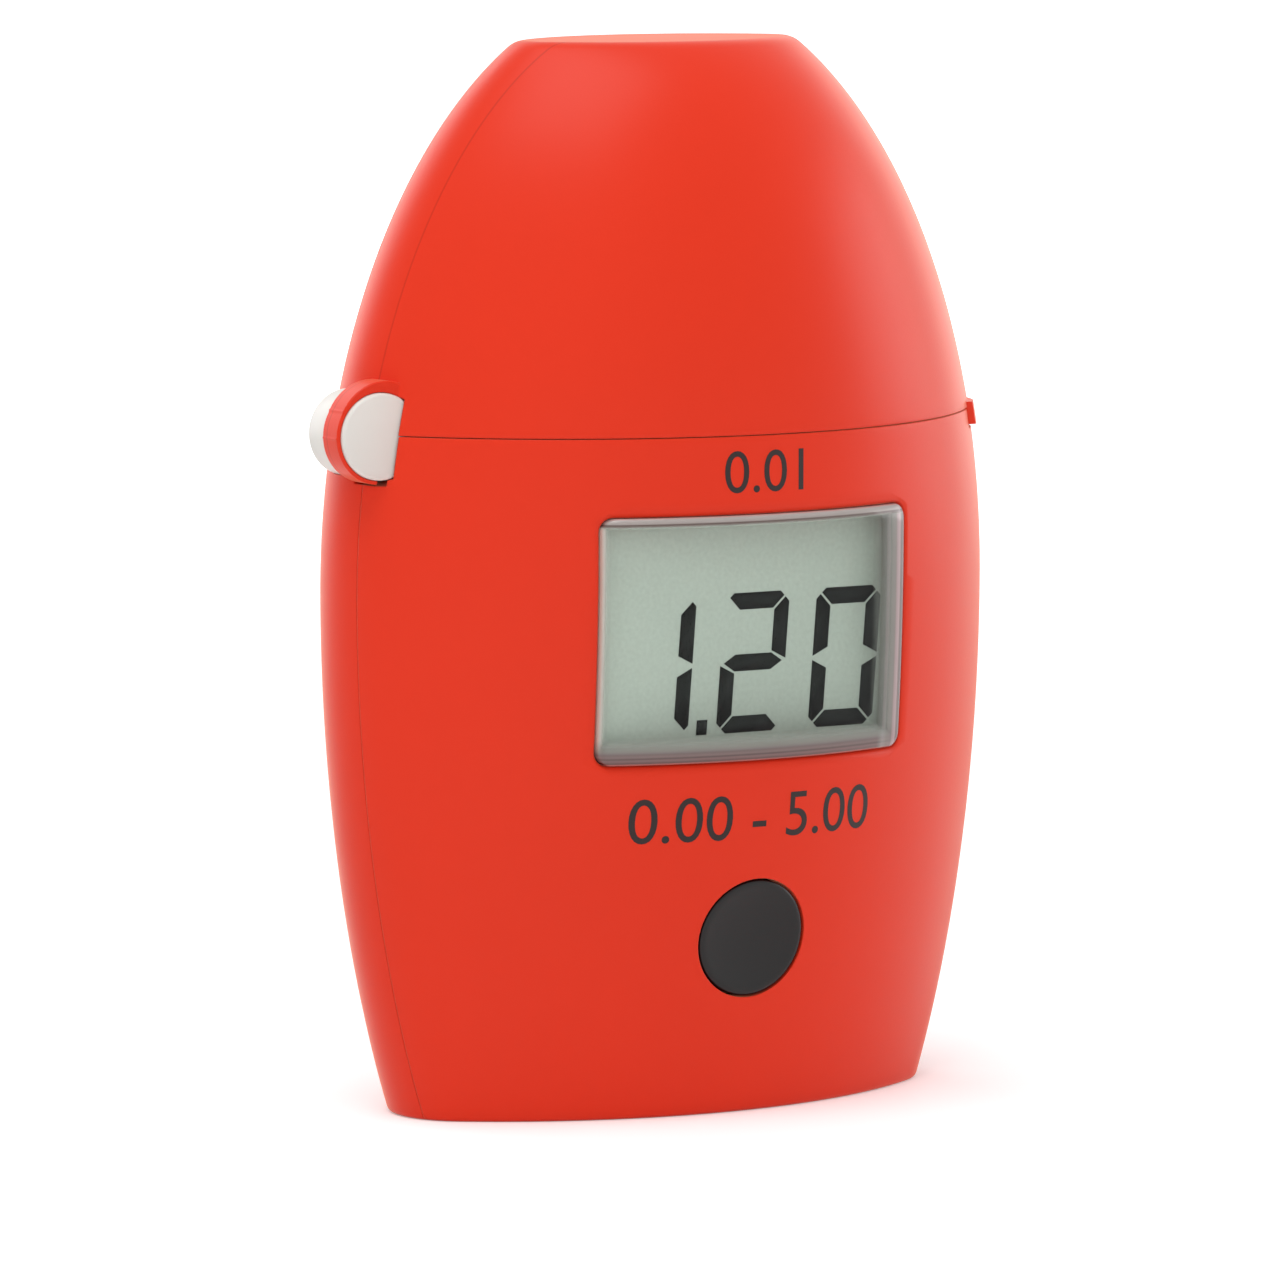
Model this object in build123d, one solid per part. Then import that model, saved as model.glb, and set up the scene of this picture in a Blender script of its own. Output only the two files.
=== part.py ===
"""Portable colorimeter: a hinged-lid case over a cuvette well, with a segment display.

Frame: X to the right seen from the front, Y to the rear, Z up. The origin is the middle of the
base, and the front of the case faces -Y. All sizes are in millimetres.
"""
import os
from math import atan2, cos, radians, sin, sqrt

from build123d import *

# Case form
HEIGHT = 86.0
HALF_WIDTH, WIDE_Z, WIDE_UP, WIDE_DOWN = 29.7, 42.0, 48.4, 70.6
HALF_DEPTH, DEEP_LOW, DEEP_HIGH, DEEP_UP, DEEP_DOWN = 18.65, 50.0, 55.0, 33.5, 65.0
END_RADIUS_SHARE = 0.27
SECTION_Z = [0, 13, 26, 38, 48, 57, 65, 72, 78, 82.5, 86]
WALL = 1.8
CROWN_RADIUS, BASE_RADIUS = 1.6, 0.6
PARTING_Y = -3.0
SEAM_Z, SEAM_GAP = 55.3, 0.25
LAP = 1.0
LIP_OUT = 0.5

# Lid hinge, with its axis along Y
HINGE_X, HINGE_Z = -27.9, 55.3
JOURNAL_R = 3.47
JOURNAL_FRONT, JOURNAL_REAR = -5.12, 0.9
STRAP_FRONT, STRAP_REAR = -4.72, -2.25
STRAP_PLAY = 0.05
STRAP_R = 3.82
CREST_R, CREST_X, CREST_Z = 4.1, 0.45, 0.30
STRAP_FROM, STRAP_TO = 30.0, 266.0
STRAP_ROOM = 3.98

# Display, window and main board
WINDOW_W, WINDOW_Z0, WINDOW_Z1, WINDOW_CORNER = 28.0, 29.2, 49.0, 1.1
WINDOW_RAISE, WINDOW_T, WINDOW_PLAY = 0.35, 1.0, 0.06
GLASS_W, GLASS_FRONT, GLASS_SHEET = 27.0, -13.9, 0.55
GLASS_Z0, GLASS_Z1, GLASS_LEDGE = 28.4, 50.0, 2.3
BOARD_FRONT, BOARD_T, BOARD_Z0, BOARD_Z1 = -12.1, 0.8, 9.6, 51.0

# Push button
BUTTON_Z, BUTTON_R, BUTTON_PLAY = 14.65, 4.75, 0.15
BUTTON_BACK, BUTTON_TRAVEL = -13.3, 0.5

# Cuvette well
WELL_Y, WELL_R, WELL_WALL, WELL_FLOOR = 1.6, 12.4, 1.1, 19.4
DECK_Z0, DECK_Z1, COLLAR_TOP, COLLAR_R, LEAD_IN = 51.5, 53.3, 56.9, 14.4, 1.2
BEAM_Z, BEAM_R = 29.0, 2.6

# Cell and its compartment
CELL_R, CELL_L, CELL_NUB_R, CELL_NUB_L, CELL_Z = 5.25, 43.7, 1.9, 0.8, 8.6
ROOF_Z0, ROOF_T = 14.5, 1.3
COVER_T, COVER_RIM, COVER_SCREW_Y = 1.6, 1.1, 8.2

SCREW_POINTS = [(20.4, 44.0), (-20.4, 44.0), (18.6, 20.6), (-18.6, 20.6)]
BOARD_SCREW_X, BOARD_SCREW_Z = 11.3, 22.6


def half_width(z):
    reach = WIDE_UP if z > WIDE_Z else WIDE_DOWN
    return HALF_WIDTH * sqrt(1 - ((z - WIDE_Z) / reach) ** 2)


def half_depth(z):
    if z > DEEP_HIGH:
        return HALF_DEPTH * sqrt(1 - ((z - DEEP_HIGH) / DEEP_UP) ** 2)
    if z < DEEP_LOW:
        return HALF_DEPTH * sqrt(1 - ((z - DEEP_LOW) / DEEP_DOWN) ** 2)
    return HALF_DEPTH


def inset_half(profile, z, inset):
    slope = (profile(z + 0.01) - profile(z - 0.01)) / 0.02
    return profile(z) - inset * sqrt(1 + slope * slope)


def oval(z, inset):
    """Four-centred oval of the case at one height."""
    a = inset_half(half_width, min(z, HEIGHT - 0.02), inset)
    b = inset_half(half_depth, min(z, HEIGHT - 0.02), inset)
    r = END_RADIUS_SHARE * (a + inset) - inset
    big = (a * a + b * b - 2 * a * r) / (2 * (b - r))
    turn = atan2(big - b, a - r)
    jx, jy = a - r + r * cos(turn), r * sin(turn)
    with BuildSketch(Plane.XY.offset(z)) as sketch:
        with BuildLine():
            ThreePointArc((jx, -jy), (a, 0), (jx, jy))
            ThreePointArc((jx, jy), (0, b), (-jx, jy))
            ThreePointArc((-jx, jy), (-a, 0), (-jx, -jy))
            ThreePointArc((-jx, -jy), (0, -b), (jx, -jy))
        make_face()
    return sketch.sketch


def case_form(inset=0.0, top=HEIGHT, bottom=0.0):
    heights = [z for z in SECTION_Z if bottom < z < top - 1.5]
    return loft([oval(z, inset) for z in [bottom] + heights + [top]])


def slab(x0, x1, y0, y1, z0, z1):
    return Pos((x0 + x1) / 2, (y0 + y1) / 2, (z0 + z1) / 2) * Box(x1 - x0, y1 - y0, z1 - z0)


def rod_y(x, z, r, y0, y1):
    return Pos(x, (y0 + y1) / 2, z) * Rot(90, 0, 0) * Cylinder(r, y1 - y0)


def rod_x(y, z, r, x0, x1):
    return Pos((x0 + x1) / 2, y, z) * Rot(0, 90, 0) * Cylinder(r, x1 - x0)


def rod_z(x, y, r, z0, z1):
    return Pos(x, y, (z0 + z1) / 2) * Cylinder(r, z1 - z0)


def round_window(width, z0, z1, corner, y0, y1):
    face = Plane((0, y1, (z0 + z1) / 2), x_dir=(1, 0, 0), z_dir=(0, -1, 0)) * RectangleRounded(
        width, z1 - z0, corner)
    return extrude(face, y1 - y0)


def pan_head_screw(x, z, seat_y, head_r, head_t, shank_r, tip_y):
    """Pan-head screw along -Y with a cross recess."""
    head = rod_y(x, z, head_r, seat_y, seat_y + head_t)
    head = chamfer(head.edges().filter_by(GeomType.CIRCLE).sort_by(Axis.Y)[-1:], head_t * 0.35)
    shank = rod_y(x, z, shank_r, tip_y, seat_y)
    cross = slab(x - head_r * 0.55, x + head_r * 0.55, seat_y + head_t * 0.45, seat_y + head_t + 1,
                 z - 0.2, z + 0.2)
    cross += slab(x - 0.2, x + 0.2, seat_y + head_t * 0.45, seat_y + head_t + 1,
                  z - head_r * 0.55, z + head_r * 0.55)
    return head + shank - cross


def save(shape, name):
    solids = shape.solids()
    whole = solids[0] if len(solids) == 1 else Compound(children=list(solids))
    export_step(whole, f"parts/{name}.step")
    print(f"{name}: {len(solids)} solid, {sum(s.volume for s in solids):.1f} mm3")


def big_half(sign, edge):
    """Everything in front of (-1) or behind (+1) the plane y = edge."""
    return slab(-60, 60, edge if sign > 0 else -60, 60 if sign > 0 else edge, -20, 120)


os.makedirs("parts", exist_ok=True)

outer = case_form()
outer = fillet(outer.faces().sort_by(Axis.Z)[-1].edges(), CROWN_RADIUS)
outer = fillet(outer.faces().sort_by(Axis.Z)[0].edges(), BASE_RADIUS)
cavity = case_form(WALL, HEIGHT - WALL, -1.0)
body_top = SEAM_Z - SEAM_GAP / 2
lid_bottom = SEAM_Z + SEAM_GAP / 2

# Body shells
body_outer = outer & slab(-60, 60, -60, 60, -1, body_top)
body_wall = body_outer - cavity
lap_line = case_form(WALL / 2, HEIGHT - WALL, -1.0)
lap_rear = (lap_line - cavity) & slab(-60, 60, PARTING_Y - LAP, PARTING_Y + 0.01, 3.3, body_top - 0.8)
lap_room = lap_line & slab(-60, 60, PARTING_Y - LAP - 0.1, PARTING_Y + 0.1, 3.2, body_top - 0.7)
front_shell = (body_wall & big_half(-1, PARTING_Y)) - lap_room
rear_shell = (body_wall & big_half(1, PARTING_Y)) + lap_rear

# Base rim that carries the battery cover
rim = (outer & slab(-60, 60, -60, 60, 0, COVER_T + 1.4)) - slab(-22.7, 22.7, -5.6, 5.6, -1, 9)
front_shell += rim & big_half(-1, PARTING_Y)
rear_shell += rim & big_half(1, PARTING_Y)
cover_pocket = extrude(oval(0, COVER_RIM), COVER_T + 0.05)
front_shell -= cover_pocket
rear_shell -= cover_pocket + rod_z(0, COVER_SCREW_Y, 0.85, 1, 5)

# Battery compartment
cell_room = rod_x(0, CELL_Z, CELL_R + 0.25, -24.4, 24.4) & case_form(0.75, HEIGHT - WALL, -1.0)
roof = case_form(WALL + 0.12, HEIGHT - WALL - 2, -1.0) & slab(-40, 40, -10.9, 20, ROOF_Z0, ROOF_Z0 + ROOF_T)
save(roof, "battery_bay_roof")
front_shell -= cell_room
rear_shell -= cell_room

# Screw bosses
for x, z in SCREW_POINTS:
    front_shell += (rod_y(x, z, 2.5, -20, PARTING_Y) & outer) - rod_y(x, z, 0.95, -9.6, 0)
    rear_shell += (rod_y(x, z, 3.1, PARTING_Y + 0.1, 20) & body_outer)
    rear_shell -= rod_y(x, z, 2.35, 2.0, 30) + rod_y(x, z, 1.25, -5, 5)
    front_shell -= rod_y(x, z, 0.95, -9.6, 0)
for x in (-BOARD_SCREW_X, BOARD_SCREW_X):
    boss = rod_y(x, BOARD_SCREW_Z, 2.1, -20, BOARD_FRONT) & outer
    front_shell = front_shell + boss - rod_y(x, BOARD_SCREW_Z, 0.7, -14.2, -10)

# Openings in the front
window_hole = round_window(WINDOW_W, WINDOW_Z0, WINDOW_Z1, WINDOW_CORNER, -30, -11)
front_shell -= window_hole
front_shell -= rod_y(0, BUTTON_Z, BUTTON_R + BUTTON_PLAY, -30, -10)
front_shell -= slab(-6.9, 6.9, -14.0, -10.5, BUTTON_Z - 2.1, BUTTON_Z + 2.1)
front_shell -= slab(-GLASS_W / 2 - 0.15, GLASS_W / 2 + 0.15, GLASS_FRONT - 0.1, -11,
                    GLASS_Z0 - 0.2, GLASS_Z1 + 0.2)

# Hinge room in the body, and the groove that lets the lid rim swing past
strap_room = rod_y(HINGE_X, HINGE_Z, STRAP_ROOM, STRAP_FRONT - 0.18, STRAP_REAR + 0.18)
block_room = rod_y(HINGE_X, HINGE_Z, JOURNAL_R + 0.05, JOURNAL_FRONT - 0.2, JOURNAL_REAR + 0.05)
block_room += slab(HINGE_X, -20, STRAP_REAR + 0.2, JOURNAL_REAR + 0.05, HINGE_Z - JOURNAL_R - 0.05, 60)
rim_groove = rod_y(HINGE_X, HINGE_Z, 1.7, JOURNAL_REAR, 5.4)
hinge_rooms = strap_room + block_room + rim_groove
front_shell -= hinge_rooms
rear_shell -= hinge_rooms

# Shallow recess behind the finger lip
lip_recess = (outer - case_form(0.55, HEIGHT - WALL, -1.0)) & slab(20, 40, -5.9, 5.9, 53.65, 56)
front_shell -= lip_recess
rear_shell -= lip_recess
save(front_shell, "front_shell")
save(rear_shell, "rear_shell")

# Lid
lid = (outer & slab(-60, 60, -60, 60, lid_bottom, 100)) - cavity
lid -= rod_y(HINGE_X, HINGE_Z, JOURNAL_R + STRAP_PLAY, JOURNAL_FRONT - 0.15, JOURNAL_REAR + 0.15)
with BuildSketch(Plane((HINGE_X, STRAP_REAR, HINGE_Z), x_dir=(1, 0, 0), z_dir=(0, -1, 0))) as strap_face:
    Circle(STRAP_R)
    with Locations((CREST_X, CREST_Z)):
        Circle(CREST_R)
    Circle(JOURNAL_R + STRAP_PLAY, mode=Mode.SUBTRACT)
    with BuildLine():
        far = 9.0
        mid = STRAP_FROM + (STRAP_TO - STRAP_FROM) / 2
        ends = [(far * cos(radians(q)), far * sin(radians(q)))
                for q in (STRAP_FROM, (STRAP_FROM + mid) / 2, mid, (STRAP_TO + mid) / 2, STRAP_TO)]
        Polyline((0, 0), *ends, close=True)
    make_face(mode=Mode.INTERSECT)
strap = extrude(strap_face.sketch, STRAP_REAR - STRAP_FRONT)
strap -= case_form(WALL, HEIGHT - WALL, -1.0)
lid += strap
lip = (case_form(-LIP_OUT) - case_form(0.25, HEIGHT - WALL, -1.0)) & slab(20, 40, -5.5, 5.5, 53.95, 55.8)
lid += lip - (slab(20, 40, -6, 6, lid_bottom, 60) & case_form(0.3))
tongue = (case_form(WALL + 0.7, HEIGHT - WALL - 2, -1.0) - case_form(WALL + 1.7, HEIGHT - WALL - 2, -1.0))
tongue &= slab(15, 40, -3.2, 3.2, 52.2, 60.5)
tongue += (case_form(WALL - 0.2, HEIGHT - WALL - 2, -1.0) - case_form(WALL + 1.7, HEIGHT - WALL - 2, -1.0)
           ) & slab(15, 40, -3.2, 3.2, 57.5, 60.5)
lid += tongue
save(lid, "lid")

# White hinge block: journal, neck through the wall and anchor inside it
block = rod_y(HINGE_X, HINGE_Z, JOURNAL_R, JOURNAL_FRONT, JOURNAL_REAR)
block += slab(HINGE_X, -24.4, STRAP_REAR + 0.3, JOURNAL_REAR, HINGE_Z - JOURNAL_R, SEAM_Z - 0.6)
block += case_form(WALL + 0.05, HEIGHT - WALL - 2, -1.0) & slab(-40, -23.6, -1.9, 4.4, 45.5, 54.4)
save(block, "hinge_block")

# Window, glass, frame and strips
lens = (case_form(-WINDOW_RAISE) - case_form(WINDOW_T, HEIGHT - WALL, -1.0))
lens &= round_window(WINDOW_W - 2 * WINDOW_PLAY, WINDOW_Z0 + WINDOW_PLAY, WINDOW_Z1 - WINDOW_PLAY,
                     WINDOW_CORNER - WINDOW_PLAY, -30, -11)
save(lens, "display_window")
glass_back = GLASS_FRONT + 2 * GLASS_SHEET
glass = slab(-GLASS_W / 2, GLASS_W / 2, GLASS_FRONT, GLASS_FRONT + GLASS_SHEET, GLASS_Z0, GLASS_Z1)
glass += slab(-GLASS_W / 2, GLASS_W / 2, GLASS_FRONT + GLASS_SHEET, glass_back,
              GLASS_Z0 + GLASS_LEDGE, GLASS_Z1 - GLASS_LEDGE)
save(glass, "lcd_glass")
strips = Compound(children=[
    slab(-11.5, 11.5, GLASS_FRONT + GLASS_SHEET, BOARD_FRONT, GLASS_Z0 + 0.4, GLASS_Z0 + 1.9).solid(),
    slab(-11.5, 11.5, GLASS_FRONT + GLASS_SHEET, BOARD_FRONT, GLASS_Z1 - 1.9, GLASS_Z1 - 0.4).solid()])
frame = slab(-GLASS_W / 2, GLASS_W / 2, glass_back, BOARD_FRONT, GLASS_Z0, GLASS_Z1)
frame -= slab(-11.6, 11.6, -20, 0, GLASS_Z0 + 2.9, GLASS_Z1 - 2.9)
for z in (GLASS_Z0 + 1.15, GLASS_Z1 - 1.15):
    frame -= slab(-11.6, 11.6, -20, 0, z - 0.85, z + 0.85)
save(frame, "lcd_frame")
save(strips, "elastomer_strips")

# Main board with its parts
board = case_form(WALL + 0.3, HEIGHT - WALL - 2, -1.0) & slab(
    -40, 40, BOARD_FRONT, BOARD_FRONT + BOARD_T, BOARD_Z0, BOARD_Z1)
for x in (-BOARD_SCREW_X, BOARD_SCREW_X):
    board -= rod_y(x, BOARD_SCREW_Z, 0.9, -20, 0)
for x, z in SCREW_POINTS:
    board -= rod_y(x, z, 2.8, -20, 0)
save(board, "main_board")
chip = slab(-3.0, 3.0, BOARD_FRONT - 1.0, BOARD_FRONT, 21.1, 27.1)
legs = slab(-3.7, 3.7, BOARD_FRONT - 0.2, BOARD_FRONT, 21.8, 26.4)
legs += slab(-2.3, 2.3, BOARD_FRONT - 0.2, BOARD_FRONT, 20.4, 27.8)
save(chip + legs, "microcontroller")
switch = slab(-2.6, 2.6, BOARD_FRONT - 0.4, BOARD_FRONT, BUTTON_Z - 2.6, BUTTON_Z + 2.6)
switch += rod_y(0, BUTTON_Z, 1.3, BOARD_FRONT - 0.55, BOARD_FRONT - 0.4)
save(switch, "tact_switch")
board_screws = [pan_head_screw(x, BOARD_SCREW_Z, BOARD_FRONT + BOARD_T, 1.5, 1.0, 0.7, -13.9)
                for x in (-BOARD_SCREW_X, BOARD_SCREW_X)]
save(Compound(children=[s.solid() for s in board_screws]), "board_screws")

# Push button: dished cap, rear flat and two retaining ears
cap = rod_y(0, BUTTON_Z, BUTTON_R, -30, BUTTON_BACK) & case_form(0.05)
dish_r = 16.0
front_y = -half_depth(BUTTON_Z)
cap -= Pos(0, front_y - dish_r + 0.75, BUTTON_Z + 2.6) * Sphere(dish_r)
button = cap + slab(-6.4, 6.4, -13.75, BUTTON_BACK, BUTTON_Z - 1.6, BUTTON_Z + 1.6)
save(button, "button")

# Cuvette holder
well_outer = WELL_R + WELL_WALL
holder = rod_z(0, WELL_Y, well_outer, WELL_FLOOR - 1.4, DECK_Z0)
holder &= case_form(WALL + 0.12, HEIGHT - WALL - 2, -1.0)
deck = case_form(WALL + 0.12, HEIGHT - WALL - 2, -1.0) & slab(-40, 40, -40, 40, DECK_Z0, DECK_Z1)
deck -= slab(-40, -23.3, -8.0, 4.7, 40, 60)
deck -= slab(23.0, 40, -3.9, 3.9, 40, 60)
for z, x in ((BEAM_Z, -1), (BEAM_Z, 1)):
    x0, x1 = sorted((x * 11.5, x * 17.2))
    holder += slab(x0, x1, WELL_Y - 4.2, WELL_Y + 4.2, z - 4.2, z + 4.2)
holder -= slab(-40, 40, -40, BOARD_FRONT + BOARD_T + 0.05, 10, BOARD_Z1 + 0.15)
holder -= rod_z(0, WELL_Y, WELL_R, WELL_FLOOR, 80)
holder -= rod_x(WELL_Y, BEAM_Z, BEAM_R, -20, 20)
holder -= rod_x(WELL_Y, BEAM_Z, 3.3, -20, -13.6)
holder -= rod_x(WELL_Y, BEAM_Z, 3.6, 13.6, 20)
save(holder, "cuvette_holder")

# Deck over the body, with the light-trap collar round the mouth of the well
deck += rod_z(0, WELL_Y, COLLAR_R, DECK_Z1, COLLAR_TOP)
deck -= rod_z(0, WELL_Y, WELL_R, DECK_Z0 - 1, COLLAR_TOP + 1)
deck -= Pos(0, WELL_Y, COLLAR_TOP - LEAD_IN) * Cone(
    WELL_R, WELL_R + 0.8, LEAD_IN, align=(Align.CENTER, Align.CENTER, Align.MIN))
save(deck, "top_deck")

windows = [rod_x(WELL_Y, BEAM_Z, BEAM_R, 12.75, 13.55), rod_x(WELL_Y, BEAM_Z, BEAM_R, -13.55, -12.75)]
save(Compound(children=[w.solid() for w in windows]), "well_windows")
led = rod_x(WELL_Y, BEAM_Z, 2.5, -19.8, -16.3) + Pos(-16.3, WELL_Y, BEAM_Z) * Sphere(2.5)
led += rod_x(WELL_Y, BEAM_Z, 2.95, -19.8, -18.9)
save(led, "led")
led_board = slab(-20.85, -19.85, WELL_Y - 5, WELL_Y + 5, BEAM_Z - 4.7, BEAM_Z + 6)
save(led_board, "led_board")
photocell = rod_x(WELL_Y, BEAM_Z, 3.5, 14.2, 17.3) + rod_x(WELL_Y, BEAM_Z, 4.1, 17.25, 17.8)
save(photocell, "photocell")
detector_board = slab(17.85, 18.85, WELL_Y - 5, WELL_Y + 5, BEAM_Z - 4.7, BEAM_Z + 6)
save(detector_board, "detector_board")

# Cell, contacts and cover
cell = rod_x(0, CELL_Z, CELL_R, -21.7, CELL_L - 21.7)
cell += rod_x(0, CELL_Z, CELL_NUB_R, CELL_L - 21.8, CELL_L - 21.7 + CELL_NUB_L)
save(cell, "battery")
contact_x = CELL_L - 21.7 + CELL_NUB_L + 0.02
contact = slab(contact_x, contact_x + 0.4, -4.2, 4.2, CELL_Z - 3.4, CELL_Z + 3.6)
save(contact & case_form(1.0, HEIGHT - WALL - 2, -1.0), "battery_contact")
leaf_points = [(-23.9, CELL_Z - 3.4), (-23.9, CELL_Z + 3.2), (-23.5, CELL_Z + 3.5), (-21.9, CELL_Z + 0.8),
               (-21.9, CELL_Z - 0.8), (-22.8, CELL_Z - 2.4)]
leaf = trace(Polyline(*leaf_points), line_width=0.24)
leaf_spring = extrude(Plane.XZ * leaf, 2.5, both=True)
save(leaf_spring, "battery_spring")

cover = extrude(oval(0, COVER_RIM + 0.08), COVER_T)
cover = fillet(cover.faces().sort_by(Axis.Z)[0].edges(), 0.3)
for x in (-15.0, -5.0, 5.0, 15.0):
    cover += slab(x - 0.6, x + 0.6, -4.4, 4.4, COVER_T, 3.3) - rod_x(0, CELL_Z, CELL_R + 0.05, -20, 20)
cover -= rod_z(0, COVER_SCREW_Y, 1.9, -1, 0.9) + rod_z(0, COVER_SCREW_Y, 1.1, -1, 5)
save(cover, "battery_cover")
cover_screw = rod_z(0, COVER_SCREW_Y, 1.8, 0.15, 0.9) + rod_z(0, COVER_SCREW_Y, 0.8, 0.9, 2.9)
cover_screw -= slab(-1.0, 1.0, COVER_SCREW_Y - 0.2, COVER_SCREW_Y + 0.2, 0, 0.55)
cover_screw -= slab(-0.2, 0.2, COVER_SCREW_Y - 1.0, COVER_SCREW_Y + 1.0, 0, 0.55)
save(cover_screw, "battery_cover_screw")

case_screws = [pan_head_screw(x, z, 2.0, 2.0, 1.5, 0.95, -9.0) for x, z in SCREW_POINTS]
save(Compound(children=[s.solid() for s in case_screws]), "case_screws")

pad_top = HEIGHT - WALL - 0.15
save(rod_z(0, 0, 5.2, pad_top - 3.0, pad_top), "lid_pad")
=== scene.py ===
import bpy
import math
import numpy as np
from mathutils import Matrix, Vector


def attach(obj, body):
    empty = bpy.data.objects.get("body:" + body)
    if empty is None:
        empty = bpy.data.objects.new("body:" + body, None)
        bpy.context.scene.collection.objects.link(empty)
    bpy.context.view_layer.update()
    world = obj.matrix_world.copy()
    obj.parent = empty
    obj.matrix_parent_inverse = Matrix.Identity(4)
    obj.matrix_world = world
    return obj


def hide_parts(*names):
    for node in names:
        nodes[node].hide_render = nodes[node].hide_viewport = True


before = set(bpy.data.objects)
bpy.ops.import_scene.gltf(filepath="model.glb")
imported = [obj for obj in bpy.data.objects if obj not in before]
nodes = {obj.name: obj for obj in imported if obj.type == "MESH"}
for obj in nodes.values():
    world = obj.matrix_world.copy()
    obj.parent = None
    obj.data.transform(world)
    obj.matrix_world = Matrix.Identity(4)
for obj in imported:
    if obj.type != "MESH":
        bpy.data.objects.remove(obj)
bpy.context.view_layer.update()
mm = 0.001  # every size below is in millimetres


def stage(text):
    print("stage: " + text)


def colour(hexText, alpha=1.0):
    # An sRGB hex value made linear by the usual curve
    channels = np.array([int(hexText[i:i + 2], 16) for i in (1, 3, 5)]) / 255
    linear = np.where(channels <= 0.04045, channels / 12.92, ((channels + 0.055) / 1.055) ** 2.4)
    return (*linear.tolist(), alpha)


def addNode(tree, kind, inputs=None, **settings):
    # One node with its settings, and its inputs either linked or set
    node = tree.nodes.new(kind)
    for key, value in settings.items():
        setattr(node, key, value)
    for key, value in (inputs or {}).items():
        socket = node.inputs[key]
        if isinstance(value, bpy.types.NodeSocket):
            tree.links.new(value, socket)
        else:
            socket.default_value = value
    return node


def newMaterial(name):
    # An empty node material and its tree
    material = bpy.data.materials.new(name)
    material.use_nodes = True
    material.node_tree.nodes.clear()
    return material, material.node_tree


def finishMaterial(tree, surface):
    # The surface goes to the material's output
    addNode(tree, "ShaderNodeOutputMaterial", {"Surface": surface})


# What all the moulded plastics share. Lengths are in millimetres: the patches where the melt cooled unevenly,
# the parting line from its core to its edge, the depth of the grain and how far light scatters.
plasticSkin = {"patch": 30.0, "patchLow": 0.3, "patchHigh": 0.7, "lineCore": 0.03, "lineEdge": 0.1,
               "lineTone": 0.8, "grainDepth": 0.03, "roughSwing": 0.03, "coatRough": 0.15,
               "scatter": (1.2, 0.4, 0.3), "bloomRough": 0.3, "bloomTint": "#FFB08A"}


def mouldedPlastic(name, base, rough=0.4, grain=0.22, bump=0.12, drift=0.03, edge=0.12, coat=0.0, line=None,
                   subsurface=0.0, specular=0.5, bloom=0.0):
    # Grain is the size of the tool's spark marks; drift is the slow change of tone over a patch; edge is the
    # small radius that catches light; line is the y of a faint parting line; bloom is the pale scatter that a
    # textured skin shows when seen along its surface.
    skin = plasticSkin
    material, tree = newMaterial(name)
    coords = addNode(tree, "ShaderNodeTexCoord").outputs["Object"]
    slow = addNode(tree, "ShaderNodeTexNoise", {"Vector": coords, "Scale": 1 / (skin["patch"] * mm),
                                                "Detail": 3.0})
    fine = addNode(tree, "ShaderNodeTexNoise", {"Vector": coords, "Scale": 1 / (grain * mm), "Detail": 2.0})
    patches = {"Value": slow.outputs["Fac"], "From Min": skin["patchLow"], "From Max": skin["patchHigh"]}
    tone = addNode(tree, "ShaderNodeMapRange", {**patches, "To Min": 1 - drift, "To Max": 1 + drift})
    tint = addNode(tree, "ShaderNodeHueSaturation", {"Color": colour(base), "Value": tone.outputs[0]})
    baseColour = tint.outputs["Color"]
    if line is not None:
        split = addNode(tree, "ShaderNodeSeparateXYZ", {"Vector": coords})
        off = addNode(tree, "ShaderNodeMath", {0: split.outputs["Y"], 1: line * mm}, operation="SUBTRACT")
        size = addNode(tree, "ShaderNodeMath", {0: off.outputs[0]}, operation="ABSOLUTE")
        ridge = addNode(tree, "ShaderNodeMapRange", {"Value": size.outputs[0],
                                                     "From Min": skin["lineCore"] * mm,
                                                     "From Max": skin["lineEdge"] * mm})
        darker = addNode(tree, "ShaderNodeMix", {"Factor": ridge.outputs[0], 6: (*[skin["lineTone"]] * 3, 1),
                                                 7: (1, 1, 1, 1)}, data_type="RGBA")
        mixed = addNode(tree, "ShaderNodeMix", {"Factor": 1.0, 6: baseColour, 7: darker.outputs[2]},
                        data_type="RGBA", blend_type="MULTIPLY")
        baseColour = mixed.outputs[2]
    roughness = addNode(tree, "ShaderNodeMapRange", {**patches, "To Min": rough - skin["roughSwing"],
                                                     "To Max": rough + skin["roughSwing"]})
    rounded = addNode(tree, "ShaderNodeBevel", {"Radius": edge * mm}, samples=4)
    relief = addNode(tree, "ShaderNodeBump", {"Strength": bump, "Distance": skin["grainDepth"] * mm,
                                              "Height": fine.outputs["Fac"], "Normal": rounded.outputs[0]})
    shader = addNode(tree, "ShaderNodeBsdfPrincipled", {
        "Base Color": baseColour, "Roughness": roughness.outputs[0], "Normal": relief.outputs[0],
        "Coat Weight": coat, "Coat Roughness": skin["coatRough"], "Subsurface Weight": subsurface,
        "Subsurface Radius": tuple(length * mm for length in skin["scatter"]),
        "Specular IOR Level": specular, "Sheen Weight": bloom, "Sheen Roughness": skin["bloomRough"],
        "Sheen Tint": colour(skin["bloomTint"])})
    finishMaterial(tree, shader.outputs[0])
    return material


# Streaks of the drawn metals: their width and depth in millimetres, and how they change the gloss
metalSkin = {"streak": 1.1, "squeeze": (1, 1, 30), "depth": 0.02, "bump": 0.08, "smoother": 0.08,
             "rougher": 0.12}


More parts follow.
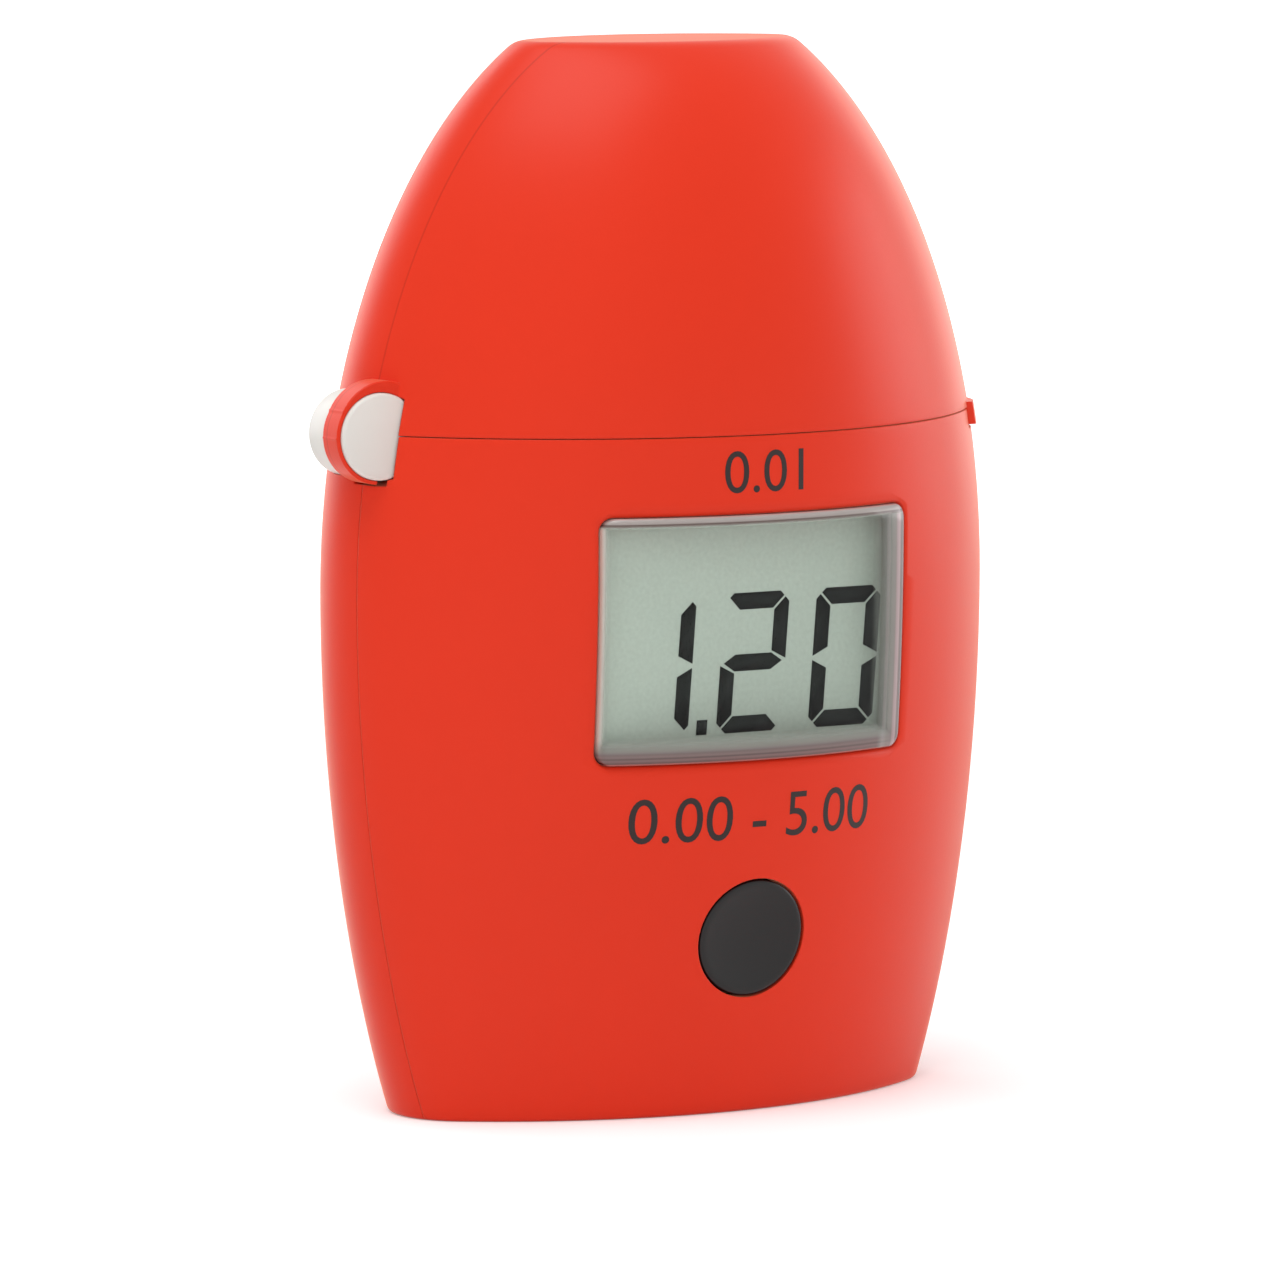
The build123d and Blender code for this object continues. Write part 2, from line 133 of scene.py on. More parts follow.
def drawnMetal(name, base, rough=0.28):
    # Streaks left by the drawing die, squeezed along one axis, change the gloss and the relief
    material, tree = newMaterial(name)
    coords = addNode(tree, "ShaderNodeTexCoord").outputs["Object"]
    scaled = addNode(tree, "ShaderNodeMapping", {"Vector": coords, "Scale": metalSkin["squeeze"]})
    streaks = addNode(tree, "ShaderNodeTexNoise", {"Vector": scaled.outputs[0],
                                                   "Scale": 1 / (metalSkin["streak"] * mm), "Detail": 3.0})
    roughness = addNode(tree, "ShaderNodeMapRange", {"Value": streaks.outputs["Fac"],
                                                     "To Min": rough - metalSkin["smoother"],
                                                     "To Max": rough + metalSkin["rougher"]})
    relief = addNode(tree, "ShaderNodeBump", {"Strength": metalSkin["bump"],
                                              "Distance": metalSkin["depth"] * mm,
                                              "Height": streaks.outputs["Fac"]})
    shader = addNode(tree, "ShaderNodeBsdfPrincipled", {
        "Base Color": colour(base), "Metallic": 1.0, "Roughness": roughness.outputs[0],
        "Normal": relief.outputs[0]})
    finishMaterial(tree, shader.outputs[0])
    return material


# The acrylic's slight waves, in millimetres, and the gloss of the painted light and shade on its thick edge
acrylicSkin = {"ior": 1.49, "rough": 0.04, "wave": 16.0, "waveDepth": 0.2, "bump": 0.03, "edgeRough": 0.25,
               "edgeSpecular": 0.3}


def clearAcrylic(name, tint, strength, lightBands=None, size=None):
    # Light goes straight through and the outer skin mirrors the room by its Fresnel share. Where bands are
    # given, the thick edge is painted with light and shade (highlights, reflections of the red case, shadow
    # lines), each band a ramp over the distance in from its own side.
    material, tree = newMaterial(name)
    coords = addNode(tree, "ShaderNodeTexCoord").outputs["Object"]
    wave = addNode(tree, "ShaderNodeTexNoise", {"Vector": coords, "Scale": 1 / (acrylicSkin["wave"] * mm),
                                                "Detail": 1.0})
    relief = addNode(tree, "ShaderNodeBump", {"Strength": acrylicSkin["bump"],
                                              "Distance": acrylicSkin["waveDepth"] * mm,
                                              "Height": wave.outputs["Fac"]})
    facing = addNode(tree, "ShaderNodeFresnel", {"IOR": acrylicSkin["ior"], "Normal": relief.outputs[0]})
    backSide = addNode(tree, "ShaderNodeNewGeometry").outputs["Backfacing"]
    outside = addNode(tree, "ShaderNodeMath", {0: backSide, 1: -strength, 2: strength},
                      operation="MULTIPLY_ADD")  # no mirror on inner faces
    amount = addNode(tree, "ShaderNodeMath", {0: facing.outputs[0], 1: outside.outputs[0]},
                     operation="MULTIPLY")
    through = addNode(tree, "ShaderNodeBsdfTransparent", {"Color": colour(tint)})
    surface = through.outputs[0]
    if lightBands:
        split = addNode(tree, "ShaderNodeSeparateXYZ", {"Vector": coords})
        sides = {"left": ("X", -size["width"] / 2, 1), "bottom": ("Z", size["z0"], 1),
                 "right": ("X", size["width"] / 2, -1), "top": ("Z", size["z1"], -1)}
        painted, cover = None, None
        for side, stops in lightBands.items():
            axis, edge, sign = sides[side]
            reach = stops[-1][0]
            inward = addNode(tree, "ShaderNodeMath", {0: split.outputs[axis], 1: sign / (reach * mm),
                                                      2: -sign * edge / reach}, operation="MULTIPLY_ADD")
            ramp = addNode(tree, "ShaderNodeValToRGB", {"Fac": inward.outputs[0]})
            for _ in stops[2:]:
                ramp.color_ramp.elements.new(0.5)
            for element, (place, tone, share) in zip(ramp.color_ramp.elements, stops):
                element.position = place / reach
                element.color = colour(tone, share)
            if painted is None:
                painted, cover = ramp.outputs["Color"], ramp.outputs["Alpha"]
                continue
            painted = addNode(tree, "ShaderNodeMix", {"Factor": ramp.outputs["Alpha"], 6: painted,
                                                      7: ramp.outputs["Color"]}, data_type="RGBA").outputs[2]
            cover = addNode(tree, "ShaderNodeMath", {0: cover, 1: ramp.outputs["Alpha"]},
                            operation="MAXIMUM").outputs[0]
        # Painted highlights, reflections and shadow lines of the edge, laid over the clear skin by their
        # cover
        paintedEdgeLight = addNode(tree, "ShaderNodeBsdfPrincipled", {
            "Base Color": painted, "Roughness": acrylicSkin["edgeRough"],
            "Specular IOR Level": acrylicSkin["edgeSpecular"]})
        surface = addNode(tree, "ShaderNodeMixShader", {"Fac": cover, 1: surface,
                                                        2: paintedEdgeLight.outputs[0]}).outputs[0]
    mirror = addNode(tree, "ShaderNodeBsdfGlossy", {"Roughness": acrylicSkin["rough"],
                                                    "Normal": relief.outputs[0]})
    blend = addNode(tree, "ShaderNodeMixShader", {"Fac": amount.outputs[0], 1: surface, 2: mirror.outputs[0]})
    finishMaterial(tree, blend.outputs[0])
    return material


# Display cell: speckle in millimetres, and the share of the darker colour at the bottom and the top
cellGround = {"speckle": 0.33, "z0": 29.0, "z1": 49.0, "darkBottom": 0.3, "darkTop": -0.1, "rough": 0.4,
              "specular": 0.3}


def displayGround(name, base, dark):
    # Reflective display cell: grey-green with a fine speckle, a little darker towards the bottom
    material, tree = newMaterial(name)
    coords = addNode(tree, "ShaderNodeTexCoord").outputs["Object"]
    speckle = addNode(tree, "ShaderNodeTexNoise", {"Vector": coords,
                                                   "Scale": 1 / (cellGround["speckle"] * mm), "Detail": 2.0})
    split = addNode(tree, "ShaderNodeSeparateXYZ", {"Vector": coords})
    slope = addNode(tree, "ShaderNodeMapRange", {"Value": split.outputs["Z"],
                                                 "From Min": cellGround["z0"] * mm,
                                                 "From Max": cellGround["z1"] * mm,
                                                 "To Min": cellGround["darkBottom"],
                                                 "To Max": cellGround["darkTop"]})
    wide = addNode(tree, "ShaderNodeMath", {0: slope.outputs[0], 1: speckle.outputs["Fac"]}, operation="ADD")
    mixed = addNode(tree, "ShaderNodeMix", {"Factor": wide.outputs[0], 6: colour(base), 7: colour(dark)},
                    data_type="RGBA")
    shader = addNode(tree, "ShaderNodeBsdfPrincipled", {"Base Color": mixed.outputs[2],
                                                        "Roughness": cellGround["rough"],
                                                        "Specular IOR Level": cellGround["specular"]})
    finishMaterial(tree, shader.outputs[0])
    return material


# Board: pitch and height of the tracks in millimetres, and their width as a share of the pitch
boardSkin = {"pitch": 4.0, "track": 0.03, "height": 0.04, "bump": 0.2, "rough": 0.35}


def solderMask(name, base, track):
    # Copper tracks stand slightly proud under the mask and show as a lighter green
    material, tree = newMaterial(name)
    coords = addNode(tree, "ShaderNodeTexCoord").outputs["Object"]
    tracks = addNode(tree, "ShaderNodeTexBrick", {"Vector": coords, "Scale": 1 / (boardSkin["pitch"] * mm),
                                                  "Mortar Size": boardSkin["track"],
                                                  "Color1": colour(base), "Color2": colour(base),
                                                  "Mortar": colour(track)})
    relief = addNode(tree, "ShaderNodeBump", {"Strength": boardSkin["bump"],
                                              "Distance": boardSkin["height"] * mm,
                                              "Height": tracks.outputs["Fac"]})
    shader = addNode(tree, "ShaderNodeBsdfPrincipled", {"Base Color": tracks.outputs["Color"],
                                                        "Roughness": boardSkin["rough"],
                                                        "Normal": relief.outputs[0]})
    finishMaterial(tree, shader.outputs[0])
    return material


# Display window, as it is cut in the front and filled by the lens. The mouth's steps are pairs of how far
# the outline is grown and how deep it lies in the wall; the edge's steps are pairs of how far the lens is
# drawn in and how deep its skin lies.
window = {"width": 28.0, "z0": 29.2, "z1": 49.0, "corner": 1.1, "play": 0.03, "raise": 0.38, "back": 1.0,
          "centre": 0.02, "backRings": 12, "faceRings": 22, "edgeReach": 0.95,
          "mouth": [(0.01, 4.0), (0.01, 0.5), (0.07, 0.3), (0.23, 0.12), (0.6, -0.04), (0.9, -0.25),
                    (0.9, -6.0)],
          "edge": [(0.0, 1.0), (0.0, 0.1), (0.03, -0.05), (0.1, -0.16), (0.22, -0.25), (0.4, -0.32),
                   (0.65, -0.36)]}

# Painted light and shade on the lens edge (highlights, reflections of the red case, shadow lines), as bands
# of:
# distance in from the side, colour, and how much they cover
lensEdgeLightBands = {
    "left": [(0.0, "#CDB5AA", 0.95), (0.12, "#C4BBB3", 0.7), (0.3, "#A9AFA5", 0.25), (0.55, "#B0B8AE", 0.0)],
    "bottom": [(0.0, "#BC7069", 0.95), (0.1, "#BC7069", 0.95), (0.22, "#4E2C2C", 0.95),
               (0.45, "#7A5A59", 0.95), (0.6, "#553E3E", 0.95), (0.75, "#7A5F5D", 0.9),
               (0.95, "#6A5354", 0.9), (1.15, "#7C706D", 0.8), (1.45, "#86837A", 0.6),
               (1.8, "#8E8F86", 0.35), (2.2, "#B0B8AE", 0.0)],
    "right": [(0.0, "#A2605E", 0.95), (0.12, "#685656", 0.95), (0.65, "#745E5E", 0.9), (0.8, "#B79A9B", 0.9),
              (1.1, "#AC9092", 0.85), (1.25, "#857774", 0.8), (1.8, "#979089", 0.5), (2.3, "#C4C6C2", 0.3),
              (2.9, "#B0B8AE", 0.0)],
    "top": [(0.0, "#D8B7B1", 0.95), (0.12, "#A8A09E", 0.9), (0.42, "#A09490", 0.9), (0.52, "#4A2C29", 0.95),
            (0.66, "#66504C", 0.8), (0.85, "#B0B8AE", 0.0)]}

# ABS moulded in a spark-eroded tool: fine even grain and a soft gloss
caseFinish = {"base": "#DE341B", "rough": 0.37, "bump": 0.2, "drift": 0.02, "subsurface": 0.03,
              "specular": 0.16, "bloom": 0.6}
caseAbs = mouldedPlastic("caseAbs", **caseFinish)
lidAbs = mouldedPlastic("lidAbs", **caseFinish, line=-3.0)
# Natural white acetal of the hinge: waxy, slightly translucent, with softened edges
hingeAcetal = mouldedPlastic("hingeAcetal", "#DEDAD4", rough=0.4, bump=0.06, drift=0.02, edge=0.2,
                             subsurface=0.05, specular=0.3)
# Black ABS key, worn a little smoother than the case
keyAbs = mouldedPlastic("keyAbs", "#110F0F", rough=0.3, grain=0.3, bump=0.15, drift=0.1, specular=0.22,
                        coat=0.25)
# Matt black ABS inside the well, so that it swallows stray light
wellAbs = mouldedPlastic("wellAbs", "#161516", rough=0.55, grain=0.4, bump=0.3, drift=0.1)
# Black nylon of the small inner mouldings
blackNylon = mouldedPlastic("blackNylon", "#1C1B1C", rough=0.5)
# Closed-cell foam: matt, with open pores at the cut face
foamPad = mouldedPlastic("foamPad", "#1B1A1B", rough=0.95, grain=0.7, bump=1.0, drift=0.2)
# Silicone with conductive layers: dull dark grey
stripSilicone = mouldedPlastic("stripSilicone", "#3A3A3C", rough=0.8)
# Water-clear epoxy of the lamp: smooth and glossy
ledEpoxy = mouldedPlastic("ledEpoxy", "#D9D6C4", rough=0.1, coat=0.5)
# Shrink sleeve of the cell: glossy dark film
cellSleeve = mouldedPlastic("cellSleeve", "#20232A", rough=0.3, coat=0.6)
# Nickel-plated spring steel, drawn and bright
nickelSteel = drawnMetal("nickelSteel", "#C9C7C2")
# Zinc-plated screws: greyer and duller
zincScrew = drawnMetal("zincScrew", "#B8B6B0", rough=0.34)
# Moulded acrylic of the lens and of the well's windows; the lens edge carries painted highlights, reflections
# and shadow lines
lensAcrylic = clearAcrylic("lensAcrylic", "#F8FBF9", 0.45, lightBands=lensEdgeLightBands, size=window)
wellAcrylic = clearAcrylic("wellAcrylic", "#F4F7F5", 0.8)
# Twisted-nematic cell with its reflector
lcdCell = displayGround("lcdCell", "#D8DFD7", "#C3CAC2")
# Driven segments of the cell: almost black, no relief
segmentInk = mouldedPlastic("segmentInk", "#0E110F", rough=0.6, bump=0.02, edge=0.01, specular=0.2)
# Pad-printed ink: thin, matt, very dark brown
printInk = mouldedPlastic("printInk", "#2B2120", rough=0.55, bump=0.1, drift=0.05, edge=0.01, specular=0.3)
# Glass-fibre board under green solder mask
boardMask = solderMask("boardMask", "#1F5B34", "#2F7A4A")

for nodeName, nodeMaterial in {
        "lcd_frame": blackNylon, "elastomer_strips": stripSilicone, "main_board": boardMask,
        "microcontroller": blackNylon, "tact_switch": nickelSteel, "board_screws": zincScrew,
        "cuvette_holder": wellAbs, "top_deck": wellAbs, "battery_bay_roof": blackNylon,
        "well_windows": wellAcrylic, "led": ledEpoxy, "photocell": blackNylon, "led_board": boardMask,
        "detector_board": boardMask, "battery": cellSleeve, "battery_contact": nickelSteel,
        "battery_spring": nickelSteel, "battery_cover": caseAbs, "battery_cover_screw": zincScrew,
        "case_screws": zincScrew, "lid_pad": foamPad, "lcd_glass": lcdCell, "display_window": lensAcrylic,
        "front_shell": caseAbs, "rear_shell": caseAbs, "lid": lidAbs, "hinge_block": hingeAcetal,
        "button": keyAbs}.items():
    nodes[nodeName].data.materials.clear()
    nodes[nodeName].data.materials.append(nodeMaterial)
stage("frame loaded and its parts given materials")

# Form of the case: half ellipses in width and depth, a four-centred oval in plan
case = {"height": 86.0, "halfWidth": 29.7, "wideZ": 42.0, "wideUp": 48.4, "wideDown": 70.6,
        "halfDepth": 18.65, "deepLow": 50.0, "deepHigh": 55.0, "deepUp": 33.5, "deepDown": 65.0,
        "endShare": 0.27, "wall": 1.8, "bodyTop": 55.26, "lidBottom": 55.34, "partingY": -3.0,
        "partingGap": 0.025, "lipRound": 0.07, "baseRound": 0.46, "sideFrom": 0.9, "floor": 3.0,
        "crown": 0.75, "crownDrop": 0.585, "crownFrom": 84.9, "roof": 84.2, "coverRim": 1.1,
        "coverFrom": -1.0, "coverDepth": 1.65, "topTrim": 0.02, "bodySteps": 96, "lidSteps": 79,
        "innerSteps": 61, "roundSteps": 6}


def halfWidth(z):
    # Half ellipses above and below the widest height
    reach = np.where(z > case["wideZ"], case["wideUp"], case["wideDown"])
    return case["halfWidth"] * np.sqrt(1 - ((z - case["wideZ"]) / reach) ** 2)


def halfDepth(z):
    # Straight between two heights, with half ellipses above and below
    above = np.clip(z - case["deepHigh"], 0, None) / case["deepUp"]
    below = np.clip(case["deepLow"] - z, 0, None) / case["deepDown"]
    return case["halfDepth"] * np.sqrt(1 - above ** 2 - below ** 2)


def insetHalf(profile, z, inset):
    # A profile moved in along its own normal, whose slope is taken over 0.01 mm each way
    slope = (profile(z + 0.01) - profile(z - 0.01)) / 0.02
    return profile(z) - inset * np.sqrt(1 + slope ** 2)


def ovalSizes(z, inset, shrink=0.0):
    # Half sizes, end radius, side radius and the angle where the two arcs of the oval meet
    a = insetHalf(halfWidth, z, inset) - shrink
    b = insetHalf(halfDepth, z, inset) - shrink
    r = case["endShare"] * (a + inset + shrink) - inset - shrink
    big = (a * a + b * b - 2 * a * r) / (2 * (b - r))
    return a, b, r, big, np.arctan2(big - b, a - r)


def ovalRings(z, inset, shrink, endSteps=20, sideSteps=56):
    # One four-centred oval for each height: each point is its arc's centre plus the arc's radius
    a, b, r, big, turn = (v[:, None] for v in ovalSizes(z, inset, shrink))
    endT, sideT = np.arange(endSteps) / endSteps, np.arange(sideSteps) / sideSteps
    angle = np.concatenate([-turn + 2 * turn * endT, turn + (np.pi - 2 * turn) * sideT,
                            np.pi - turn + 2 * turn * endT,
                            np.pi + turn + (np.pi - 2 * turn) * sideT], axis=1)
    isEnd = np.concatenate([np.ones(endSteps), np.zeros(sideSteps)] * 2)[None, :] > 0
    side = np.repeat([1, 1, -1, -1], [endSteps, sideSteps, endSteps, sideSteps])
    radius = np.where(isEnd, r, big)
    centreX = np.where(isEnd, side * (a - r), 0)
    centreY = np.where(isEnd, 0, side * (b - big))
    return np.stack([centreX + radius * np.cos(angle), centreY + radius * np.sin(angle),
                     np.broadcast_to(z[:, None], angle.shape)], axis=2)


def frontY(x, z, inset=0.0):
    # The side arc of the oval at height z, solved for y
    _, b, _, big, _ = ovalSizes(z, inset)
    return -(np.sqrt(big ** 2 - x ** 2) - (big - b))


def endX(y, z, inset=0.0):
    # Half width at y and z, on the end arc or on the side arc
    a, b, r, big, turn = ovalSizes(z, inset)
    onEnd = np.abs(y) < r * np.sin(turn)
    return np.where(onEnd, a - r + np.sqrt(np.clip(r ** 2 - y ** 2, 0, None)),
                    np.sqrt(np.clip(big ** 2 - (np.abs(y) + big - b) ** 2, 0, None)))


def smoothUpTo(mesh, degrees):
    # Smooth shading, creased where faces meet at more than this angle; 0 leaves no crease
    mesh.shade_smooth()
    if degrees:
        mesh.set_sharp_from_angle(angle=math.radians(degrees))


def makeObject(name, points, faces, materials, smoothAngle=35):
    # An object at the origin from points in millimetres, smooth up to an angle
    mesh = bpy.data.meshes.new(name)
    mesh.from_pydata((np.asarray(points, float).reshape(-1, 3) * mm).tolist(), [], faces)
    mesh.validate()
    for material in materials:
        mesh.materials.append(material)
    smoothUpTo(mesh, smoothAngle)
    thing = bpy.data.objects.new(name, mesh)
    bpy.context.scene.collection.objects.link(thing)
    return thing


def tube(rings):
    # A closed stack of rings: quads between neighbours, and a flat cap at each end
    rows, columns = rings.shape[:2]
    r, c = np.meshgrid(np.arange(rows - 1), np.arange(columns), indexing="ij")
    after = (c + 1) % columns
    quads = np.stack([r * columns + c, r * columns + after, (r + 1) * columns + after,
                      (r + 1) * columns + c], 2)
    faces = quads.reshape(-1, 4).tolist()
    faces.append(list(range(columns))[::-1])
    faces.append(list(range((rows - 1) * columns, rows * columns)))
    return rings.reshape(-1, 3), faces


def turnedY(profile, x, z, steps=96):
    # A turned solid about a line along Y, from (y, radius) pairs
    profile = np.array(profile, float)
    angle = np.arange(steps) / steps * 2 * np.pi
    along = np.broadcast_to(profile[:, :1], (len(profile), steps))
    return tube(np.stack([x + profile[:, 1:] * np.cos(angle), along, z - profile[:, 1:] * np.sin(angle)], 2))


def rodY(x, z, radius, y0, y1):
    # A round bar along Y
    return turnedY([(y0, radius), (y1, radius)], x, z, 64)


def block(x0, x1, y0, y1, z0, z1):
    # A box between two corners
    ring = np.array([[x0, y0], [x1, y0], [x1, y1], [x0, y1]], float)
    return tube(np.stack([np.column_stack([ring, np.full(4, z)]) for z in (z0, z1)]))


def endPatch(y0, y1, z0, z1, insetIn, insetOut, steps=25):
    # A curved slab that follows the right end of the case between two insets
    yy, zz = np.meshgrid(np.linspace(y0, y1, steps), np.linspace(z0, z1, 4))
    outside = np.stack([endX(yy, zz, insetOut), yy, zz], 2)
    inside = np.stack([endX(yy, zz, insetIn), yy, zz], 2)[:, ::-1]
    return tube(np.concatenate([outside, inside], axis=1))


def roundedRect(grow, cornerSteps=8, sideSteps=(26, 18)):
    # The window's outline, grown outward: quarter arcs joined by evenly divided sides, from the right side up
    halfW = window["width"] / 2 + grow
    halfH = (window["z1"] - window["z0"]) / 2 + grow
    corner = window["corner"] + grow
    quarter = np.linspace(0, np.pi / 2, cornerSteps)
    x, z = [], []
    for k, (sx, sz) in enumerate(((1, 1), (-1, 1), (-1, -1), (1, -1))):
        angle = quarter + k * np.pi / 2
        arcX = sx * (halfW - corner) + corner * np.cos(angle)
        arcZ = sz * (halfH - corner) + corner * np.sin(angle)
        nextX = (-sx if k % 2 == 0 else sx) * (halfW - corner) + corner * np.cos(angle[-1])
        nextZ = (sz if k % 2 == 0 else -sz) * (halfH - corner) + corner * np.sin(angle[-1])
        share = np.arange(1, sideSteps[k % 2]) / sideSteps[k % 2]
        x += [arcX, arcX[-1] + (nextX - arcX[-1]) * share]
        z += [arcZ, arcZ[-1] + (nextZ - arcZ[-1]) * share]
    return np.concatenate(x), (window["z0"] + window["z1"]) / 2 + np.concatenate(z)


def onFront(x, z, inset):
    # A flat outline laid on the front, some way in from its surface
    return np.column_stack([x, frontY(x, z, inset), z])


def joined(name, solids, materials, smoothAngle=35):
    # Several closed solids in one mesh
    counts = np.cumsum([0] + [len(points) for points, _ in solids])
    faces = [[i + int(start) for i in face] for (_, part), start in zip(solids, counts) for face in part]
    return makeObject(name, np.concatenate([points for points, _ in solids]), faces, materials, smoothAngle)


cutCrease = 30  # degrees, on pieces that have been cut


def carve(target, cutters):
    # Each cutter is taken away from the mesh in turn
    for solid in cutters:
        cutter = makeObject("cutter", *solid, [], smoothAngle=0)
        modifier = target.modifiers.new("carve", "BOOLEAN")
        modifier.operation, modifier.solver, modifier.object = "DIFFERENCE", "EXACT", cutter
        bpy.context.view_layer.update()
        done = bpy.data.meshes.new_from_object(target.evaluated_get(bpy.context.evaluated_depsgraph_get()))
        target.modifiers.clear()
        old, target.data = target.data, done
        bpy.data.meshes.remove(old)
        bpy.data.objects.remove(cutter)
    smoothUpTo(target.data, cutCrease)
    return target


def merge(target, extras):
    # Other objects of the same material join the target's mesh
    with bpy.context.temp_override(active_object=target, object=target, selected_objects=[target, *extras],
                                   selected_editable_objects=[target, *extras]):
        bpy.ops.object.join()
    return target


def seat(piece, body, node=None):
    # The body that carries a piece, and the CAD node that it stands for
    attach(piece, body)
    if node:
        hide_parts(node)


# Hinge: strap of the lid round a white journal fixed in the body
hinge = {"x": -27.9, "z": 55.3, "journal": 3.47, "front": -5.12, "rear": 0.9, "play": 0.05, "edge": 0.22,
         "strapFront": -4.72, "strapRear": -2.25, "strap": 3.82, "crest": 4.1, "crestX": 0.45, "crestZ": 0.3,
         "from": 30.0, "to": 266.0, "room": 3.98, "roomPlay": 0.18, "groove": 1.7, "grooveRear": 5.4,
         "ridge": 0.05, "ridgeWidth": 1.3, "ridgesAt": (147.0, 181.0), "strapEdge": 0.1, "strapSteps": 260,
         "bed": 0.05, "bedFront": 0.2, "lidBed": 0.15, "centre": 0.02, "rimStart": (0.3, 0.36),
         "neckEnd": -24.4, "neckStep": 0.3, "neckTop": 54.7, "anchor": (-26.6, -23.6, -1.9, 4.3, 45.6, 54.3)}

# Latch at the right end, as patches of y, y, z, z, inner inset, outer inset
latch = {"recess": (-5.9, 5.9, 53.65, 56.0, 0.55, -1.0), "lip": (-5.5, 5.5, 53.95, 55.8, 0.25, -0.5),
         "tongue": (-3.2, 3.2, 52.2, 60.5, 3.5, 2.5), "tongueRoot": (-3.2, 3.2, 57.5, 60.5, 2.6, 1.6)}

# Screw posts of the rear shell
screws = {"points": [(20.4, 44.0), (-20.4, 44.0), (18.6, 20.6), (-18.6, 20.6)], "post": 3.1, "hole": 2.35,
          "foot": -2.9, "seat": 2.0, "inWall": 0.9, "reach": 30.0, "centre": 0.02, "steps": 48}
# Key: its rim as pairs of radius and how far it is sunk, the radii of the dish, the plate with its two ears
# behind it, and the hole that it moves in
button = {"z": 14.65, "r": 4.75, "play": 0.15, "dish": 0.62, "flat": 4.3, "back": -13.3, "proud": -0.02,
          "rim": [(4.75, 9.0), (4.75, 0.28), (4.72, 0.12), (4.62, 0.03), (4.48, 0.0), (4.3, 0.02)],
          "dishRadii": [4.0, 3.6, 3.1, 2.5, 1.8, 1.1, 0.5, 0.05], "steps": 96, "earsX": (-6.4, 6.4),
          "earsFront": -13.75, "earsZ": (13.05, 16.25), "holeY": (-30, -9)}

# Body shells: one wall all round, parted at the parting plane
far, farZ = 60, (-10, 70)  # past the body on every side, below and above it
step = np.linspace(0, 1, case["roundSteps"])
quarter = np.linspace(0, np.pi / 2, case["roundSteps"])
lip = case["lipRound"]
outerZ = np.concatenate([case["baseRound"] * step ** 2,
                         np.linspace(case["sideFrom"], case["bodyTop"] - lip, case["bodySteps"]),
                         case["bodyTop"] - lip + lip * np.sin(quarter)[1:]])
outerShrink = np.concatenate([case["baseRound"] * (1 - step) ** 2, np.zeros(case["bodySteps"]),
                              lip * (1 - np.cos(quarter))[1:]])
innerZ = np.linspace(case["bodyTop"], case["floor"], case["innerSteps"])
bodySolid = tube(ovalRings(np.concatenate([outerZ, innerZ]),
                           np.concatenate([np.zeros(len(outerZ)), np.full(len(innerZ), case["wall"])]),
                           np.concatenate([outerShrink, np.zeros(len(innerZ))])))

windowMouth = tube(np.stack([onFront(*roundedRect(grow), inset) for grow, inset in window["mouth"]]))
coverPocket = ovalRings(np.zeros(2), np.full(2, case["coverRim"]), np.zeros(2))
coverPocket[:, :, 2] = [[case["coverFrom"]], [case["coverDepth"]]]
commonCuts = [
    tube(coverPocket),
    rodY(hinge["x"], hinge["z"], hinge["room"], hinge["strapFront"] - hinge["roomPlay"],
         hinge["strapRear"] + hinge["roomPlay"]),
    rodY(hinge["x"], hinge["z"], hinge["journal"] + hinge["bed"], hinge["front"] - hinge["bedFront"],
         hinge["rear"] + hinge["bed"]),
    rodY(hinge["x"], hinge["z"], hinge["groove"], hinge["rear"], hinge["grooveRear"]),
    endPatch(*latch["recess"])]

bodyFront = makeObject("bodyFront", *bodySolid, [caseAbs])
carve(bodyFront, [block(-far, far, case["partingY"] - case["partingGap"], far, *farZ), windowMouth,
                  rodY(0, button["z"], button["r"] + button["play"], *button["holeY"])] + commonCuts)
bodyRear = makeObject("bodyRear", *bodySolid, [caseAbs])
carve(bodyRear, [block(-far, far, -far, case["partingY"] + case["partingGap"], *farZ)] + commonCuts
      + [rodY(x, z, screws["hole"], screws["seat"], screws["reach"]) for x, z in screws["points"]])


def bossSolid(x, z):
    # A cup for a screw head: a turned post whose open end follows the rear wall
    angle = np.arange(screws["steps"]) / screws["steps"] * 2 * np.pi
    radius = np.array([screws["centre"], screws["post"], screws["post"], screws["hole"], screws["hole"],
                       screws["centre"]])[:, None]
    px, pz = x + radius * np.cos(angle), z - radius * np.sin(angle)
    heights = [screws["foot"], screws["foot"], 0, 0, screws["seat"], screws["seat"]]
    y = np.broadcast_to(np.array(heights)[:, None], px.shape).copy()
    y[2:4] = -frontY(px[2:4], pz[2:4], screws["inWall"])
    return tube(np.stack([px, y, pz], 2))


merge(bodyRear, [joined("screwPosts", [bossSolid(x, z) for x, z in screws["points"]], [caseAbs])])
seat(bodyFront, "body", "front_shell")
seat(bodyRear, "body", "rear_shell")
stage("body shells")

# Lid: the same wall carried on over the crown, with its strap, finger lip and latch tongue
lidInnerZ = np.linspace(case["roof"], case["lidBottom"], case["innerSteps"])
lidOuterZ = np.concatenate([case["lidBottom"] + lip - lip * np.sin(quarter)[::-1],
                            np.linspace(case["lidBottom"] + lip, case["crownFrom"], case["lidSteps"] + 1)[1:],
                            case["height"] - case["crownDrop"] * (1 - step) ** 2])
lidShrink = np.concatenate([np.zeros(len(lidInnerZ)), lip * (1 - np.cos(quarter))[::-1],
                            np.zeros(case["lidSteps"]), case["crown"] * step ** 2])
lidZ = np.minimum(np.concatenate([lidInnerZ, lidOuterZ]), case["height"] - case["topTrim"])
lidInset = np.concatenate([np.full(len(lidInnerZ), case["wall"]), np.zeros(len(lidOuterZ))])
lidShell = makeObject("lidShell", *tube(ovalRings(lidZ, lidInset, lidShrink)), [lidAbs])
carve(lidShell, [rodY(hinge["x"], hinge["z"], hinge["journal"] + hinge["play"],
                      hinge["front"] - hinge["lidBed"], hinge["rear"] + hinge["lidBed"])])


